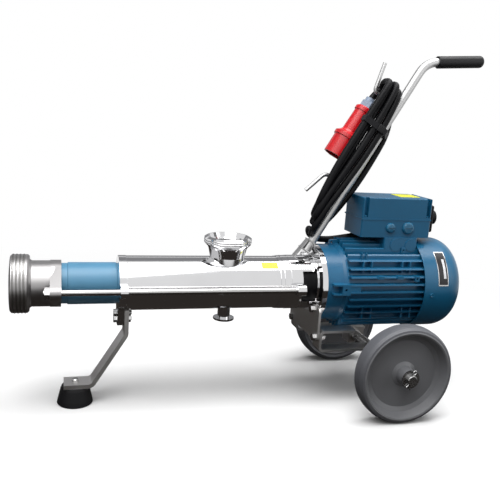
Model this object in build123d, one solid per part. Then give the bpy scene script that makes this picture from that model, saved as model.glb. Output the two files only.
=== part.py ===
from build123d import *
from math import cos, pi, sin
import os

# Progressive cavity pump on a two-wheeled trolley. Millimetres, +Z up, +X from the outlet to the motor.
# The origin lies on the floor, under the middle of the pump without its cable.
# Places along the pump are given from the motor's flange face, and heights from the pump's axis.

# --- driving dimensions ---------------------------------------------------------------------------
WHEEL_R = 100.0             # trolley wheel, 200 mm
AXIS_Z = 244.0              # height of the pump's axis above the floor
MOTOR_FACE = 133.5          # x of the motor's flange face, which centres the pump over the origin

OUTLET_END = -605.0         # face of the outlet's thread
OUTLET_THREAD_R = 55.0      # round thread Rd 110 x 1/4, for an 80 mm pipe
OUTLET_BORE_R = 40.5
CONNECTOR_R = 43.5
CONNECTOR_END = -514.0      # where the stator enters

STATOR_TUBE_R = 40.2
STATOR_NECK_R = 38.6        # turned ends of the stator tube
LINING_R = 36.5
STATOR_END = -411.0         # where the stator enters the suction housing
SOCKET_DEPTH = 6.0

ECCENTRICITY = 6.0          # rotor offset from its own axis
ROTOR_R = 20.0              # round section of the rotor
ROTOR_PITCH = 50.0          # one turn of the rotor; the lining's two-start bore has twice that
LINING_GAP = 0.4            # running gap between rotor and lining
ROTOR_TIP = -528.0
ROTOR_HEAD = -400.0

TUBE_R = 53.4               # suction housing
TUBE_WALL = 3.0
COLLAR_R = 54.0
COLLAR_END = -395.0
INLET_X = -192.5
INLET_BORE_R = 33.0
INLET_THREAD_R = 47.5       # round thread Rd 95 x 1/6, for a 65 mm pipe
INLET_TOP = 95.5            # height of the inlet's mouth above the axis

LANTERN_START = -66.0
LANTERN_R = 56.0
LANTERN_BORE_R = 50.0
FLANGE_R = 80.0             # motor flange of 160 mm, bolts on 130 mm
FLANGE_T = 11.0
FLANGE_BOLT_CIRCLE_R = 65.0
FLANGE_BOLT_R = 4.0

TIE_ROD_R = 6.0
TIE_ROD_Y = 68.0

JOINT_X = -112.0            # centre of the coupling rod's joint on the drive shaft
ROTOR_JOINT_X = -376.0      # centre of its joint in the rotor's head

MOTOR_SHAFT_R = 14.0
HOUSING_START = 44.0
HOUSING_END = 222.0
FIN_R = 94.0
CORE_R = 79.0
COVER_R = 97.0
COVER_START = 209.0
COVER_END = 306.0

BOX_X = (77.0, 236.0)
BOX_HALF_Y = 43.0
BOX_Z = (105.0, 141.0, 187.0)   # underside, seam between base and lid, top
BASE_X = (131.0, 208.0)
BASE_HALF_Y = 47.0
BASE_BOTTOM = 70.0

AXLE_X = 137.0
AXLE_R = 12.5
JOURNAL_R = 10.0
AXLE_HALF = 209.0
TYRE_OUT = 191.0            # outer side of each wheel
TYRE_W = 42.0

BAR_W = 35.0                # flat bar of the trolley
BAR_T = 5.0
BAR_Y = 67.5
FOOT_X = -486.0

HANDLE_R = 9.0
HANDLE_WALL = 1.5
HANDLE_FOOT = (-22.9, 67.6)     # end of the tube on its bracket, x and height above the axis
HANDLE_RISE = 60.1              # degrees from level
HANDLE_TOP = (205.4, 464.6)     # corner between the stem and the grip
GRIP_RISE = 5.3
GRIP_END = 338.5
GRIP_R = 12.5
HOOK_R = 4.0

CABLE_R = 7.0
M8_HEAD = 6.5                   # half the width across the flats
M12_HEAD = 9.5

parts = {}


# --- helpers --------------------------------------------------------------------------------------
def axial(x, y=0.0, z=0.0):
    """Plane across the pump: its x runs along +Y, its y runs up, and it faces +X."""
    return Plane(origin=(MOTOR_FACE + x, y, AXIS_Z + z), x_dir=(0, 1, 0), z_dir=(1, 0, 0))


def side(y=0.0):
    """Upright plane along the pump: its x runs along +X, its y runs up, and it faces -Y."""
    return Plane(origin=(MOTOR_FACE, y, AXIS_Z), x_dir=(1, 0, 0), z_dir=(0, -1, 0))


def pipe(x0, x1, r, bore=0.0, y=0.0, z=0.0):
    ring = Circle(r) - Circle(bore) if bore else Circle(r)
    return extrude(axial(x0, y, z) * ring, x1 - x0)


def turned(*points):
    """Body of revolution about the pump's axis, from points of x and radius."""
    face = make_face(Polyline(*points, close=True))
    return revolve(side() * face, Axis((0, 0, AXIS_Z), (1, 0, 0)), 360)


def block(x, y, z):
    """Box from the low and high values along each axis."""
    size = (x[1] - x[0], y[1] - y[0], z[1] - z[0])
    at = (MOTOR_FACE + (x[0] + x[1]) / 2, (y[0] + y[1]) / 2, AXIS_Z + (z[0] + z[1]) / 2)
    return Pos(*at) * Box(*size)


def place(x, y, z):
    return Vector(MOTOR_FACE + x, y, AXIS_Z + z)


def group(solids):
    return Compound(children=list(solids))


def hexagon(half_width):
    return RegularPolygon(half_width, 6, major_radius=False)


def bolt_x(x0, x1, y, z, r, half_width, head, nut=0.0):
    """Bolt along +X with its head before x0, and a nut after x1 where one is fitted."""
    plain = pipe(x0, x1 + nut, r, 0.0, y, z) if nut else pipe(x0, x1, r, 0.0, y, z)
    body = plain + extrude(axial(x0 - head, y, z) * hexagon(half_width), head)
    if nut:
        body += extrude(axial(x1, y, z) * hexagon(half_width), nut * 0.8)
    return body


def strip(points, width, thick, radius):
    """Flat bar bent along points of y, x and height, with its width across the pump."""
    path = FilletPolyline(*[place(x, y, z) for x, y, z in points], radius=radius)
    start = Plane(origin=path @ 0, x_dir=(0, 1, 0), z_dir=path % 0)
    return sweep(start * Rectangle(width, thick), path)


def rod(points, r, radius, bore=0.0):
    """Round bar or tube bent along points of x, y and height."""
    path = FilletPolyline(*[place(*p) for p in points], radius=radius)
    start = Plane(origin=path @ 0, x_dir=(0, 1, 0), z_dir=path % 0)
    ring = Circle(r) - Circle(bore) if bore else Circle(r)
    return sweep(start * ring, path)


# --- outlet connector: thread, body, and a collar with ears for the tie rods ----------------------
def ears(x0, x1, r):
    """Bar across the pump whose rounded ends carry the tie rods."""
    return extrude(axial(x0) * SlotCenterToCenter(2 * TIE_ROD_Y, 2 * r), x1 - x0)


def rod_holes(x0, x1, r):
    return pipe(x0, x1, r, 0.0, -TIE_ROD_Y) + pipe(x0, x1, r, 0.0, TIE_ROD_Y)


COLLAR_BAND = 20.0
THREAD_LENGTH = 34.0
outlet = turned(
    (OUTLET_END, OUTLET_BORE_R), (OUTLET_END, OUTLET_THREAD_R - 3), (OUTLET_END + 3, OUTLET_THREAD_R),
    (OUTLET_END + THREAD_LENGTH - 3, OUTLET_THREAD_R), (OUTLET_END + THREAD_LENGTH, OUTLET_THREAD_R - 3),
    (OUTLET_END + THREAD_LENGTH, CONNECTOR_R + 3), (OUTLET_END + THREAD_LENGTH + 4, CONNECTOR_R),
    (CONNECTOR_END - COLLAR_BAND, CONNECTOR_R), (CONNECTOR_END - COLLAR_BAND, CONNECTOR_R + 1),
    (CONNECTOR_END, CONNECTOR_R + 1), (CONNECTOR_END, STATOR_NECK_R),
    (CONNECTOR_END - SOCKET_DEPTH, STATOR_NECK_R), (CONNECTOR_END - SOCKET_DEPTH, 34.0),
    (CONNECTOR_END - 3 * SOCKET_DEPTH, OUTLET_BORE_R - 3), (CONNECTOR_END - 5 * SOCKET_DEPTH, OUTLET_BORE_R),
)
EAR_R = 13.0
discs = Sketch() + Circle(CONNECTOR_R + 1)
discs += [Pos(y, 0) * Circle(EAR_R) for y in (-TIE_ROD_Y, TIE_ROD_Y)]
oval = make_hull(discs.edges())
collar = extrude(axial(CONNECTOR_END - COLLAR_BAND) * oval, COLLAR_BAND)
collar &= turned(
    (CONNECTOR_END - COLLAR_BAND / 2, CONNECTOR_R), (CONNECTOR_END - COLLAR_BAND, TIE_ROD_Y - EAR_R),
    (CONNECTOR_END - COLLAR_BAND, TIE_ROD_Y + EAR_R + 1), (CONNECTOR_END, TIE_ROD_Y + EAR_R + 1),
    (CONNECTOR_END, CONNECTOR_R),
)
collar -= rod_holes(CONNECTOR_END - COLLAR_BAND, CONNECTOR_END, TIE_ROD_R)
parts["outlet_connector"] = outlet + collar

# --- stator: a painted steel tube around a rubber lining with a two-start helical bore ------------
STATOR_X0 = CONNECTOR_END - SOCKET_DEPTH
STATOR_X1 = STATOR_END + SOCKET_DEPTH
parts["stator_tube"] = turned(
    (STATOR_X0, LINING_R), (STATOR_X0, STATOR_NECK_R), (CONNECTOR_END + 11, STATOR_NECK_R),
    (CONNECTOR_END + 12, STATOR_TUBE_R), (STATOR_END - 2, STATOR_TUBE_R), (STATOR_END, STATOR_NECK_R),
    (STATOR_X1, STATOR_NECK_R), (STATOR_X1, LINING_R),
)


def lining_section(x):
    """The lining's slot-shaped bore at x. It turns half as fast as the rotor."""
    turn = 180 * (x - STATOR_X0) / ROTOR_PITCH
    slot = SlotCenterToCenter(4 * ECCENTRICITY, 2 * (ROTOR_R + LINING_GAP))
    return axial(x) * Rot(0, 0, turn) * slot


LINING_STEP = 12.0          # degrees of turn between the sections that make the bore
lining_steps = round(180 * (STATOR_X1 - STATOR_X0) / ROTOR_PITCH / LINING_STEP)
lining_places = [STATOR_X0 + (STATOR_X1 - STATOR_X0) * i / lining_steps for i in range(lining_steps + 1)]
lining_bore = loft([lining_section(x) for x in lining_places], ruled=True)
parts["stator_lining"] = pipe(STATOR_X0, STATOR_X1, LINING_R) - lining_bore


# --- rotor: a round section that travels round its own axis, on a head that holds the rod's pin ---
def rotor_section(x):
    """Round section, centred off the rotor's axis, which itself lies off the pump's axis."""
    turn = 2 * pi * (x - STATOR_X0) / ROTOR_PITCH
    y = ECCENTRICITY + ECCENTRICITY * cos(turn)
    z = ECCENTRICITY * sin(turn)
    return axial(x, y, z) * Circle(ROTOR_R)


ROTOR_STEP = 24.0
rotor_steps = round(360 * (ROTOR_HEAD - ROTOR_TIP) / ROTOR_PITCH / ROTOR_STEP)
rotor_places = [ROTOR_TIP + (ROTOR_HEAD - ROTOR_TIP) * i / rotor_steps for i in range(rotor_steps + 1)]
screw = loft([rotor_section(x) for x in rotor_places], ruled=True)
HEAD_R = 20.0
HEAD_BORE_R = 15.5
HEAD_MOUTH = ROTOR_JOINT_X + 16
JOINT_PIN_R = 5.0
head = pipe(ROTOR_HEAD - 4, HEAD_MOUTH, HEAD_R, 0.0, ECCENTRICITY)
head -= pipe(ROTOR_JOINT_X - 16, HEAD_MOUTH, HEAD_BORE_R, 0.0, ECCENTRICITY)


def cross_pin(x, y, length, r=JOINT_PIN_R):
    """Joint pin across a shaft, upright at rest."""
    return Pos(*place(x, y, 0)) * Cylinder(r, length)


parts["rotor"] = screw + head - cross_pin(ROTOR_JOINT_X, ECCENTRICITY, 3 * HEAD_R)
parts["rotor_pin"] = cross_pin(ROTOR_JOINT_X, ECCENTRICITY, 2 * HEAD_R - 2)

# --- coupling rod: a plain rod with two round heads, and a sealing boot at each end ---------------
ROD_R = 10.0
ROD_HEAD_R = 13.0
PIN_PLAY = 0.8
rod_start = place(ROTOR_JOINT_X, ECCENTRICITY, 0)
rod_end = place(JOINT_X, 0, 0)
rod_axis = Plane(origin=rod_start, x_dir=(0, 0, 1), z_dir=rod_end - rod_start)
ROD_LENGTH = (rod_end - rod_start).length


def rod_turned(*points):
    """Body of revolution about the coupling rod, from points of length along it and radius."""
    profile = Plane(origin=rod_axis.origin, x_dir=rod_axis.z_dir, z_dir=rod_axis.y_dir)
    face = make_face(Polyline(*points, close=True))
    return revolve(profile * face, Axis(rod_axis.origin, rod_axis.z_dir), 360)


coupling = rod_turned(
    (-11, 0), (-11, 9), (-7, ROD_HEAD_R), (9, ROD_HEAD_R), (13, ROD_R),
    (ROD_LENGTH - 13, ROD_R), (ROD_LENGTH - 9, ROD_HEAD_R), (ROD_LENGTH + 7, ROD_HEAD_R),
    (ROD_LENGTH + 11, 9), (ROD_LENGTH + 11, 0),
)
coupling -= cross_pin(ROTOR_JOINT_X, ECCENTRICITY, 60, JOINT_PIN_R + PIN_PLAY)
coupling -= cross_pin(JOINT_X, 0, 60, JOINT_PIN_R + PIN_PLAY)
parts["coupling_rod"] = coupling


def boot(start, way):
    """Bellows boot around the rod, just outside the socket that the rod's head turns in."""
    folds = [(0, 19), (3, 19), (6, 15.5), (9, 18), (12, 14.5), (15, 17), (18, 13.5), (24, 13.5)]
    outline = [(start, ROD_R + 0.3)] + [(start + way * s, r) for s, r in folds]
    return rod_turned(*outline, (start + way * 24, ROD_R + 0.3))


parts["joint_boots"] = group([boot(18.0, 1), boot(ROD_LENGTH - 18.0, -1)])

# --- drive shaft: hollow plug-in shaft with the joint's socket, and the shaft seal ----------------
SEAL_SHAFT_R = 17.5
SOCKET_MOUTH = JOINT_X - 16
shaft = turned(
    (SOCKET_MOUTH, HEAD_BORE_R), (SOCKET_MOUTH, 20.5), (SOCKET_MOUTH + 1.5, 22), (-96, 22),
    (-92, SEAL_SHAFT_R), (-63, SEAL_SHAFT_R), (-63, 23), (-60, 25), (-8, 25), (-6, 23),
    (-6, MOTOR_SHAFT_R), (-60, MOTOR_SHAFT_R), (-60, 0), (JOINT_X + 16, 0), (JOINT_X + 16, HEAD_BORE_R),
)
parts["pump_shaft"] = shaft - cross_pin(JOINT_X, 0, 60)
parts["drive_pin"] = cross_pin(JOINT_X, 0, 42)
SEAL_FACE = -80.0
parts["seal_ring"] = turned(
    (-90, SEAL_SHAFT_R), (-90, 23), (-86, 25), (SEAL_FACE, 25), (SEAL_FACE, SEAL_SHAFT_R),
)
END_WALL = -74.0
parts["seal_seat"] = pipe(SEAL_FACE + 0.05, END_WALL, 27.0, 19.0)

# --- suction housing: tube with a front collar, inlet neck, drain stub and end wall ---------------
NECK_TOP = 60.0
housing = turned(
    (STATOR_X1, 35), (STATOR_X1, STATOR_NECK_R), (STATOR_END + 2, STATOR_NECK_R), (STATOR_END + 2, COLLAR_R),
    (COLLAR_END, COLLAR_R), (COLLAR_END, TUBE_R), (-90, TUBE_R), (-90, 55), (-84, 55), (-84, 54.2),
    (-82, 54.2), (-82, 55.4), (-68, 55.4), (-68, LANTERN_R), (LANTERN_START, LANTERN_R),
    (LANTERN_START, 18.8), (END_WALL, 18.8), (END_WALL, TUBE_R - TUBE_WALL), (COLLAR_END, TUBE_R - TUBE_WALL), (COLLAR_END - 4, 35),
)
TONGUE_HALF = 18.0
LEG_BOLTS_Z = (-60.5, -73.0)
front = ears(STATOR_END + 2, COLLAR_END, 12.0)
front += block((STATOR_END + 2, COLLAR_END), (-TONGUE_HALF, TONGUE_HALF), (-81, -45))
front -= pipe(STATOR_END + 2, COLLAR_END, COLLAR_R)
front -= rod_holes(STATOR_END + 2, COLLAR_END, TIE_ROD_R)
for bolt_z in LEG_BOLTS_Z:
    front -= pipe(STATOR_END + 2, COLLAR_END, FLANGE_BOLT_R, 0.0, 0.0, bolt_z)
housing += front


def upright(x, *points):
    """Body of revolution about an upright line at x, from points of radius and height above the axis."""
    profile = Plane(origin=place(x, 0, 0), x_dir=(1, 0, 0), z_dir=(0, -1, 0))
    face = make_face(Polyline(*points, close=True))
    return revolve(profile * face, Axis(place(x, 0, 0), (0, 0, 1)), 360)


neck = upright(INLET_X, (0, 0), (35, 0), (35, 54), (36.2, NECK_TOP), (0, NECK_TOP))
neck -= pipe(COLLAR_END, END_WALL, TUBE_R - 1)
saddle = (housing + neck).edges().filter_by(GeomType.CIRCLE, reverse=True)
saddle = [
    e for e in saddle
    if abs(e.center().X - MOTOR_FACE - INLET_X) < 3 and e.center().Z > AXIS_Z + 38 and e.length > 200
]
housing = fillet(saddle, 5) if saddle else housing + neck
DRAIN_R = 12.75
drain = upright(INLET_X, (0, -74), (DRAIN_R, -74), (DRAIN_R, -40), (0, -40))
housing += drain - pipe(COLLAR_END, END_WALL, TUBE_R - 1)
housing -= upright(INLET_X, (0, 20), (INLET_BORE_R, 20), (INLET_BORE_R, NECK_TOP), (0, NECK_TOP))
housing -= upright(INLET_X, (0, -75), (9.5, -75), (9.5, -30), (0, -30))
parts["suction_housing"] = housing

parts["inlet_union"] = upright(
    INLET_X, (INLET_BORE_R, NECK_TOP), (36.2, NECK_TOP), (38.8, 71), (40.5, 75), (INLET_THREAD_R - 2, 79.5),
    (INLET_THREAD_R, 81.5), (INLET_THREAD_R, 92.5), (INLET_THREAD_R - 3, 94.5), (42.5, INLET_TOP),
    (40.5, INLET_TOP), (36, 87), (INLET_BORE_R, 83),
)
parts["drain_plug"] = upright(
    INLET_X, (0, -78.5), (20.5, -78.5), (21.6, -77.5), (21.6, -74), (9.5, -74), (9.5, -62), (0, -62),
)

# --- lantern between the housing and the motor, open on both sides, with a black guard inside -----
lantern = turned(
    (LANTERN_START, LANTERN_BORE_R), (LANTERN_START, LANTERN_R), (-FLANGE_T - 1, LANTERN_R),
    (-FLANGE_T, LANTERN_R + 1), (-FLANGE_T, FLANGE_R - 1), (-FLANGE_T + 1, FLANGE_R), (0, FLANGE_R),
    (0, 55), (-4, 55), (-4, LANTERN_BORE_R),
)
ROD_SEAT = -48.0
lantern += ears(-63, -45, 12.0) - pipe(-63, -45, LANTERN_BORE_R)
lantern -= rod_holes(-63, ROD_SEAT, TIE_ROD_R)
lantern -= block((-44, -13), (-90, 90), (-30, 33))
bolt_places = [
    (FLANGE_BOLT_CIRCLE_R * cos(a * pi / 180), FLANGE_BOLT_CIRCLE_R * sin(a * pi / 180))
    for a in (45, 135, 225, 315)
]
for y, z in bolt_places:
    lantern -= pipe(-FLANGE_T, 0, FLANGE_BOLT_R, 0.0, y, z)
parts["lantern"] = lantern
parts["guard_sleeve"] = pipe(-60, -9, LANTERN_BORE_R, LANTERN_BORE_R - 2.5)

# --- tie rods with their nuts, and the bolts of the flange ----------------------------------------
ROD_START = CONNECTOR_END - COLLAR_BAND - 11
parts["tie_rods"] = group(
    pipe(ROD_START, ROD_SEAT, TIE_ROD_R, 0.0, s * TIE_ROD_Y) for s in (-1, 1)
)
nut = extrude(axial(CONNECTOR_END - COLLAR_BAND - 9, TIE_ROD_Y) * (hexagon(M12_HEAD) - Circle(TIE_ROD_R)), 9)
parts["tie_rod_nuts"] = group([nut, mirror(nut, Plane.XZ)])

PLATE_X = (-FLANGE_T - BAR_T, -FLANGE_T)
parts["flange_bolts"] = group(
    bolt_x(-FLANGE_T if z > 0 else PLATE_X[0], 14, y, z, FLANGE_BOLT_R, M8_HEAD, 5.5) for y, z in bolt_places
)

# --- motor: end shield, finned housing, windings, rear shield, bearings ---------------------------
BEARING_R = 31.0
shield = turned(
    (-4, 52), (-4, 54.95), (0, 54.95), (0, FLANGE_R - 1), (1, FLANGE_R), (34, FLANGE_R), (40, 84), (44, 84),
    (44, 70), (12, 66), (12, BEARING_R + 7), (30, BEARING_R + 7), (30, BEARING_R), (10, BEARING_R), (10, 18),
    (6, 18), (6, 52),
)
LUG_Z = (-5.0, 17.0)
LUG_OUT = 93.0
for s in (-1, 1):
    lug_y = tuple(sorted((s * 74, s * LUG_OUT)))
    lug = block((8, 44), lug_y, LUG_Z) - block((8, 26), tuple(sorted((s * 81, s * LUG_OUT))), (-2, 14))
    shield += lug - Pos(*place(34, s * LUG_OUT, 6)) * Rot(90, 0, 0) * Cylinder(2.5, 16)
eye = block((26, 44), (-4, 4), (70, 91)) - Pos(*place(31, 0, 86)) * Rot(90, 0, 0) * Cylinder(2.5, 10)
shield += fillet(eye.edges().filter_by(Axis.Y).sort_by(Axis.Z)[-2:].sort_by(Axis.X)[0], 5)
shield -= pipe(12, 44, 66) - pipe(12, 30, BEARING_R + 7)
for y, z in bolt_places:
    shield -= pipe(0, 14, FLANGE_BOLT_R, 0.0, y, z)
parts["motor_end_shield"] = shield

FIN_PITCH = 15.3
FIN_T = 3.0
fins = Sketch()
for i in range(-4, 5):
    fins += Pos(0, i * FIN_PITCH) * Rectangle(3 * FIN_R, FIN_T)
for i in range(-4, 5):
    fins += Pos(i * FIN_PITCH, 0) * Rectangle(FIN_T, 3 * FIN_R)
fins = (fins & Circle(FIN_R)) + Circle(CORE_R) - Circle(70)
housing_body = extrude(axial(HOUSING_START) * fins, HOUSING_END - HOUSING_START)
# lugs and bosses among the fins, alike on both sides
LUG_END = 66.0
rib_places = [(x, 37, 60, 76) for x in (75, 94, 163, 181)] + [(x, -60, -38, 76) for x in (82, 102, 172, 192)]
for s in (-1, 1):
    housing_body += block((44, LUG_END), tuple(sorted((s * 76, s * (LUG_OUT - 1)))), (LUG_Z[0] + 2, LUG_Z[1]))
    for x, z0, z1, y in rib_places:
        housing_body += block((x - 1.5, x + 1.5), tuple(sorted((s * 60, s * y))), (z0, z1))
    for x in (109, 153):
        housing_body += block((x - 7, x + 7), tuple(sorted((s * 80, s * 91.5))), (27.5, 33.5))
    boss = block((187, 197), tuple(sorted((s * 76, s * 91))), (22, 33))
    housing_body += boss - Pos(*place(192, s * 91, 27.5)) * Rot(90, 0, 0) * Cylinder(2.2, 10)
    for x in (74, 84):
        housing_body += block((x - 1.5, x + 1.5), tuple(sorted((s * 60, s * 66))), (64, 76))
# passage for the mains lead on the far side, and the seat of the terminal box
passage = pipe(44, BASE_X[0], FIN_R + 6) - pipe(44, BASE_X[0], CORE_R + 5)
housing_body -= passage & block((44, BASE_X[0]), (22, 57), (50, 100))
housing_body -= block(BASE_X, (-BASE_HALF_Y, BASE_HALF_Y), (BASE_BOTTOM + 10, 100))
parts["motor_housing"] = housing_body
parts["motor_stator_core"] = turned(
    (62, 42), (62, 62), (80, 68), (80, 70), (190, 70), (190, 68), (208, 62), (208, 42),
)
parts["motor_rear_shield"] = turned(
    (HOUSING_END, 70), (HOUSING_END, 88), (HOUSING_END + 8, 88), (HOUSING_END + 16, 50),
    (HOUSING_END + 20, 34), (HOUSING_END + 20, 15), (HOUSING_END + 16, 15), (HOUSING_END + 16, 26),
    (HOUSING_END, 26), (HOUSING_END, 34), (HOUSING_END + 8, 40), (HOUSING_END + 4, 70),
)
parts["motor_bearings"] = group([
    pipe(10, 28, BEARING_R, 15.05), pipe(HOUSING_END, HOUSING_END + 16, 26, 12.55),
])
parts["motor_shaft"] = turned(
    (-60, 0), (-60, MOTOR_SHAFT_R), (4, MOTOR_SHAFT_R), (4, 15), (45, 15), (45, 19), (HOUSING_END - 3, 19),
    (HOUSING_END - 3, 12.5), (285, 12.5), (285, 0),
)
parts["motor_rotor_core"] = pipe(74, 196, 41.5, 19)

# --- cooling fan and its cover with a slotted back ------------------------------------------------
FAN_X = (250.0, 284.0)
fan = pipe(FAN_X[0], FAN_X[1], 19, 12.5) + pipe(FAN_X[0] + 12, FAN_X[0] + 15, 74, 12.5)
blade = block(FAN_X, (17, 78), (-1.2, 1.2)) - block((FAN_X[0] - 1, FAN_X[0] + 8), (60, 80), (-3, 3))
for i in range(8):
    fan += blade.rotate(Axis((0, 0, AXIS_Z), (1, 0, 0)), 45 * i)
parts["cooling_fan"] = fan

COVER_T = 1.5
BACK_R = 62.0
SHOULDER = 265.0


def cover_outline(inset):
    """Half section of the cover, out to its outer or inner skin."""
    shoulder = EllipticalCenterArc(
        (SHOULDER, BACK_R - inset), COVER_END - SHOULDER - inset, COVER_R - BACK_R,
        start_angle=0, arc_size=90,
    )
    lines = [
        Line((COVER_START, 0), (COVER_START, COVER_R - inset)),
        Line((COVER_START, COVER_R - inset), (SHOULDER, COVER_R - inset)),
        shoulder,
        Line((COVER_END - inset, BACK_R - inset), (COVER_END - inset, 0)),
        Line((COVER_END - inset, 0), (COVER_START, 0)),
    ]
    return revolve(side() * make_face(lines), Axis((0, 0, AXIS_Z), (1, 0, 0)), 360)


cover = cover_outline(0.0) - cover_outline(COVER_T)
SLOT_W = 5.0
SPOKE = 7.0
slots = Sketch()
for r in (17, 28, 39, 50):
    slots += Circle(r + SLOT_W / 2) - Circle(r - SLOT_W / 2)
for a in (0, 45, 90, 135):
    slots -= Rot(0, 0, a) * Rectangle(120, SPOKE)
cover -= extrude(axial(COVER_END - 5) * slots, 10)
parts["fan_cover"] = cover

# --- terminal box on the motor, control box on top of it ------------------------------------------
base = block(BASE_X, (-BASE_HALF_Y, BASE_HALF_Y), (BASE_BOTTOM, BOX_Z[0]))
base = fillet(base.edges().filter_by(Axis.Z), 6)
base -= block((BASE_X[0] + 5, BASE_X[1] - 5), (-BASE_HALF_Y + 5, BASE_HALF_Y - 5), (BASE_BOTTOM + 14, 110))
KNOCKOUT_R = 13.0
for x in (157.0, 192.0):
    blank = Pos(*place(x, 0, 90)) * Rot(90, 0, 0) * Cylinder(KNOCKOUT_R, 2 * BASE_HALF_Y + 3)
    base += blank - block((BASE_X[0], BASE_X[1]), (-BASE_HALF_Y + 1, BASE_HALF_Y - 1), (0, 110))
base -= pipe(44, HOUSING_END, CORE_R)
base -= extrude(axial(BASE_X[0]) * ((fins & Rectangle(400, 400)) + Circle(CORE_R)), BASE_X[1] - BASE_X[0])
for s in (-1, 1):
    rib = block((170, 180), tuple(sorted((s * (BASE_HALF_Y - 2), s * (BASE_HALF_Y + 4)))), (66, 84))
    base += rib - Pos(*place(175, s * BASE_HALF_Y, 79)) * Rot(90, 0, 0) * Cylinder(2.2, 20)
base -= extrude(axial(BASE_X[0]) * fins, BASE_X[1] - BASE_X[0])
GLAND_Y = 30.0
GLAND_Z = 94.0
base -= pipe(BASE_X[0], BASE_X[0] + 5, 8, 0.0, GLAND_Y, GLAND_Z)
parts["terminal_base"] = base

BOX_WALL = 3.0
box_base = block(BOX_X, (-BOX_HALF_Y, BOX_HALF_Y), BOX_Z[:2])
box_base = fillet(box_base.edges().filter_by(Axis.Z), 4)
box_base -= block(
    (BOX_X[0] + BOX_WALL, BOX_X[1] - BOX_WALL), (-BOX_HALF_Y + BOX_WALL, BOX_HALF_Y - BOX_WALL),
    (BOX_Z[0] + BOX_WALL, BOX_Z[1]),
)
POST = 12.0
SCREW_R = 2.0
corners = []
for x_end, way_x in ((BOX_X[0], 1), (BOX_X[1], -1)):
    for way_y in (-1, 1):
        post_x = tuple(sorted((x_end + way_x * 2, x_end + way_x * (2 + POST))))
        post_y = tuple(sorted((way_y * (BOX_HALF_Y - 2), way_y * (BOX_HALF_Y - 2 - POST))))
        corners.append((post_x, post_y, x_end + way_x * 8, way_y * (BOX_HALF_Y - 5)))
for post_x, post_y, x, y in corners:
    box_base += block(post_x, post_y, (BOX_Z[0] + BOX_WALL, BOX_Z[1]))
    box_base -= Pos(*place(x, y, BOX_Z[1])) * Cylinder(SCREW_R, 24)
PLUG_PLACES = ((143.0, 10.5), (183.5, 13.0))
PLUG_Z = 125.0
for x, r in PLUG_PLACES:
    hole = Pos(*place(x, -BOX_HALF_Y, PLUG_Z)) * Rot(90, 0, 0) * Cylinder(r - 2, 10)
    box_base -= hole
parts["control_box_base"] = box_base

lid = block(BOX_X, (-BOX_HALF_Y, BOX_HALF_Y), BOX_Z[1:])
lid = fillet(lid.edges().filter_by(Axis.Z), 4)
lid = fillet(lid.faces().sort_by(Axis.Z)[-1].edges(), 2)
lid -= block(
    (BOX_X[0] + BOX_WALL, BOX_X[1] - BOX_WALL), (-BOX_HALF_Y + BOX_WALL, BOX_HALF_Y - BOX_WALL),
    (BOX_Z[1], BOX_Z[2] - BOX_WALL),
)
LIP = 0.8
rim = block(
    (BOX_X[0] - LIP, BOX_X[1]), (-BOX_HALF_Y - LIP, BOX_HALF_Y + LIP), (BOX_Z[1], BOX_Z[1] + 3),
)
lid += rim - block((BOX_X[0] + 1, BOX_X[1]), (-BOX_HALF_Y + 1, BOX_HALF_Y - 1), (BOX_Z[1], BOX_Z[1] + 3))
# screws stand in pockets at the corners, open to the long sides and the top
LEDGE_Z = BOX_Z[1] + 6
POCKET = 4.5
for post_x, post_y, x, y in corners:
    lid += block(post_x, post_y, (BOX_Z[1], BOX_Z[2] - 1))
    pocket_y = tuple(sorted((y - y / abs(y) * POCKET, y * 2)))
    lid -= block((x - POCKET, x + POCKET), pocket_y, (LEDGE_Z, BOX_Z[2]))
    lid -= Pos(*place(x, y, BOX_Z[1])) * Cylinder(SCREW_R, 24)
parts["control_box_lid"] = lid
HEAD = 3.7
screws = []
for post_x, post_y, x, y in corners:
    screw_body = upright(
        x, (0, BOX_Z[1] - 12), (SCREW_R, BOX_Z[1] - 12), (SCREW_R, LEDGE_Z), (HEAD, LEDGE_Z),
        (HEAD, LEDGE_Z + 3), (0, LEDGE_Z + HEAD),
    )
    screws.append(Pos(0, y, 0) * screw_body)
parts["lid_screws"] = group(screws)


def blanking_plug(x, r):
    """Threaded plastic plug that closes a cable hole, with a domed head."""
    profile = Plane(origin=place(x, -BOX_HALF_Y, PLUG_Z), x_dir=(1, 0, 0), z_dir=(0, 0, 1))
    outline = Polyline(
        (0, 8), (r - 2, 8), (r - 2, 0), (r, 0), (r, -1.5), (r - 1, -3.5), (r - 3.5, -5), (0, -5.8),
        close=True,
    )
    body = revolve(profile * make_face(outline), Axis(place(x, -BOX_HALF_Y, PLUG_Z), (0, 1, 0)), 360)
    slot_y = (-BOX_HALF_Y - 7, -BOX_HALF_Y - 3.8)
    return body - block((x - 0.6 * r, x + 0.6 * r), slot_y, (PLUG_Z - 1.3, PLUG_Z + 1.3))


parts["blanking_plugs"] = group(blanking_plug(x, r) for x, r in PLUG_PLACES)

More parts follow.
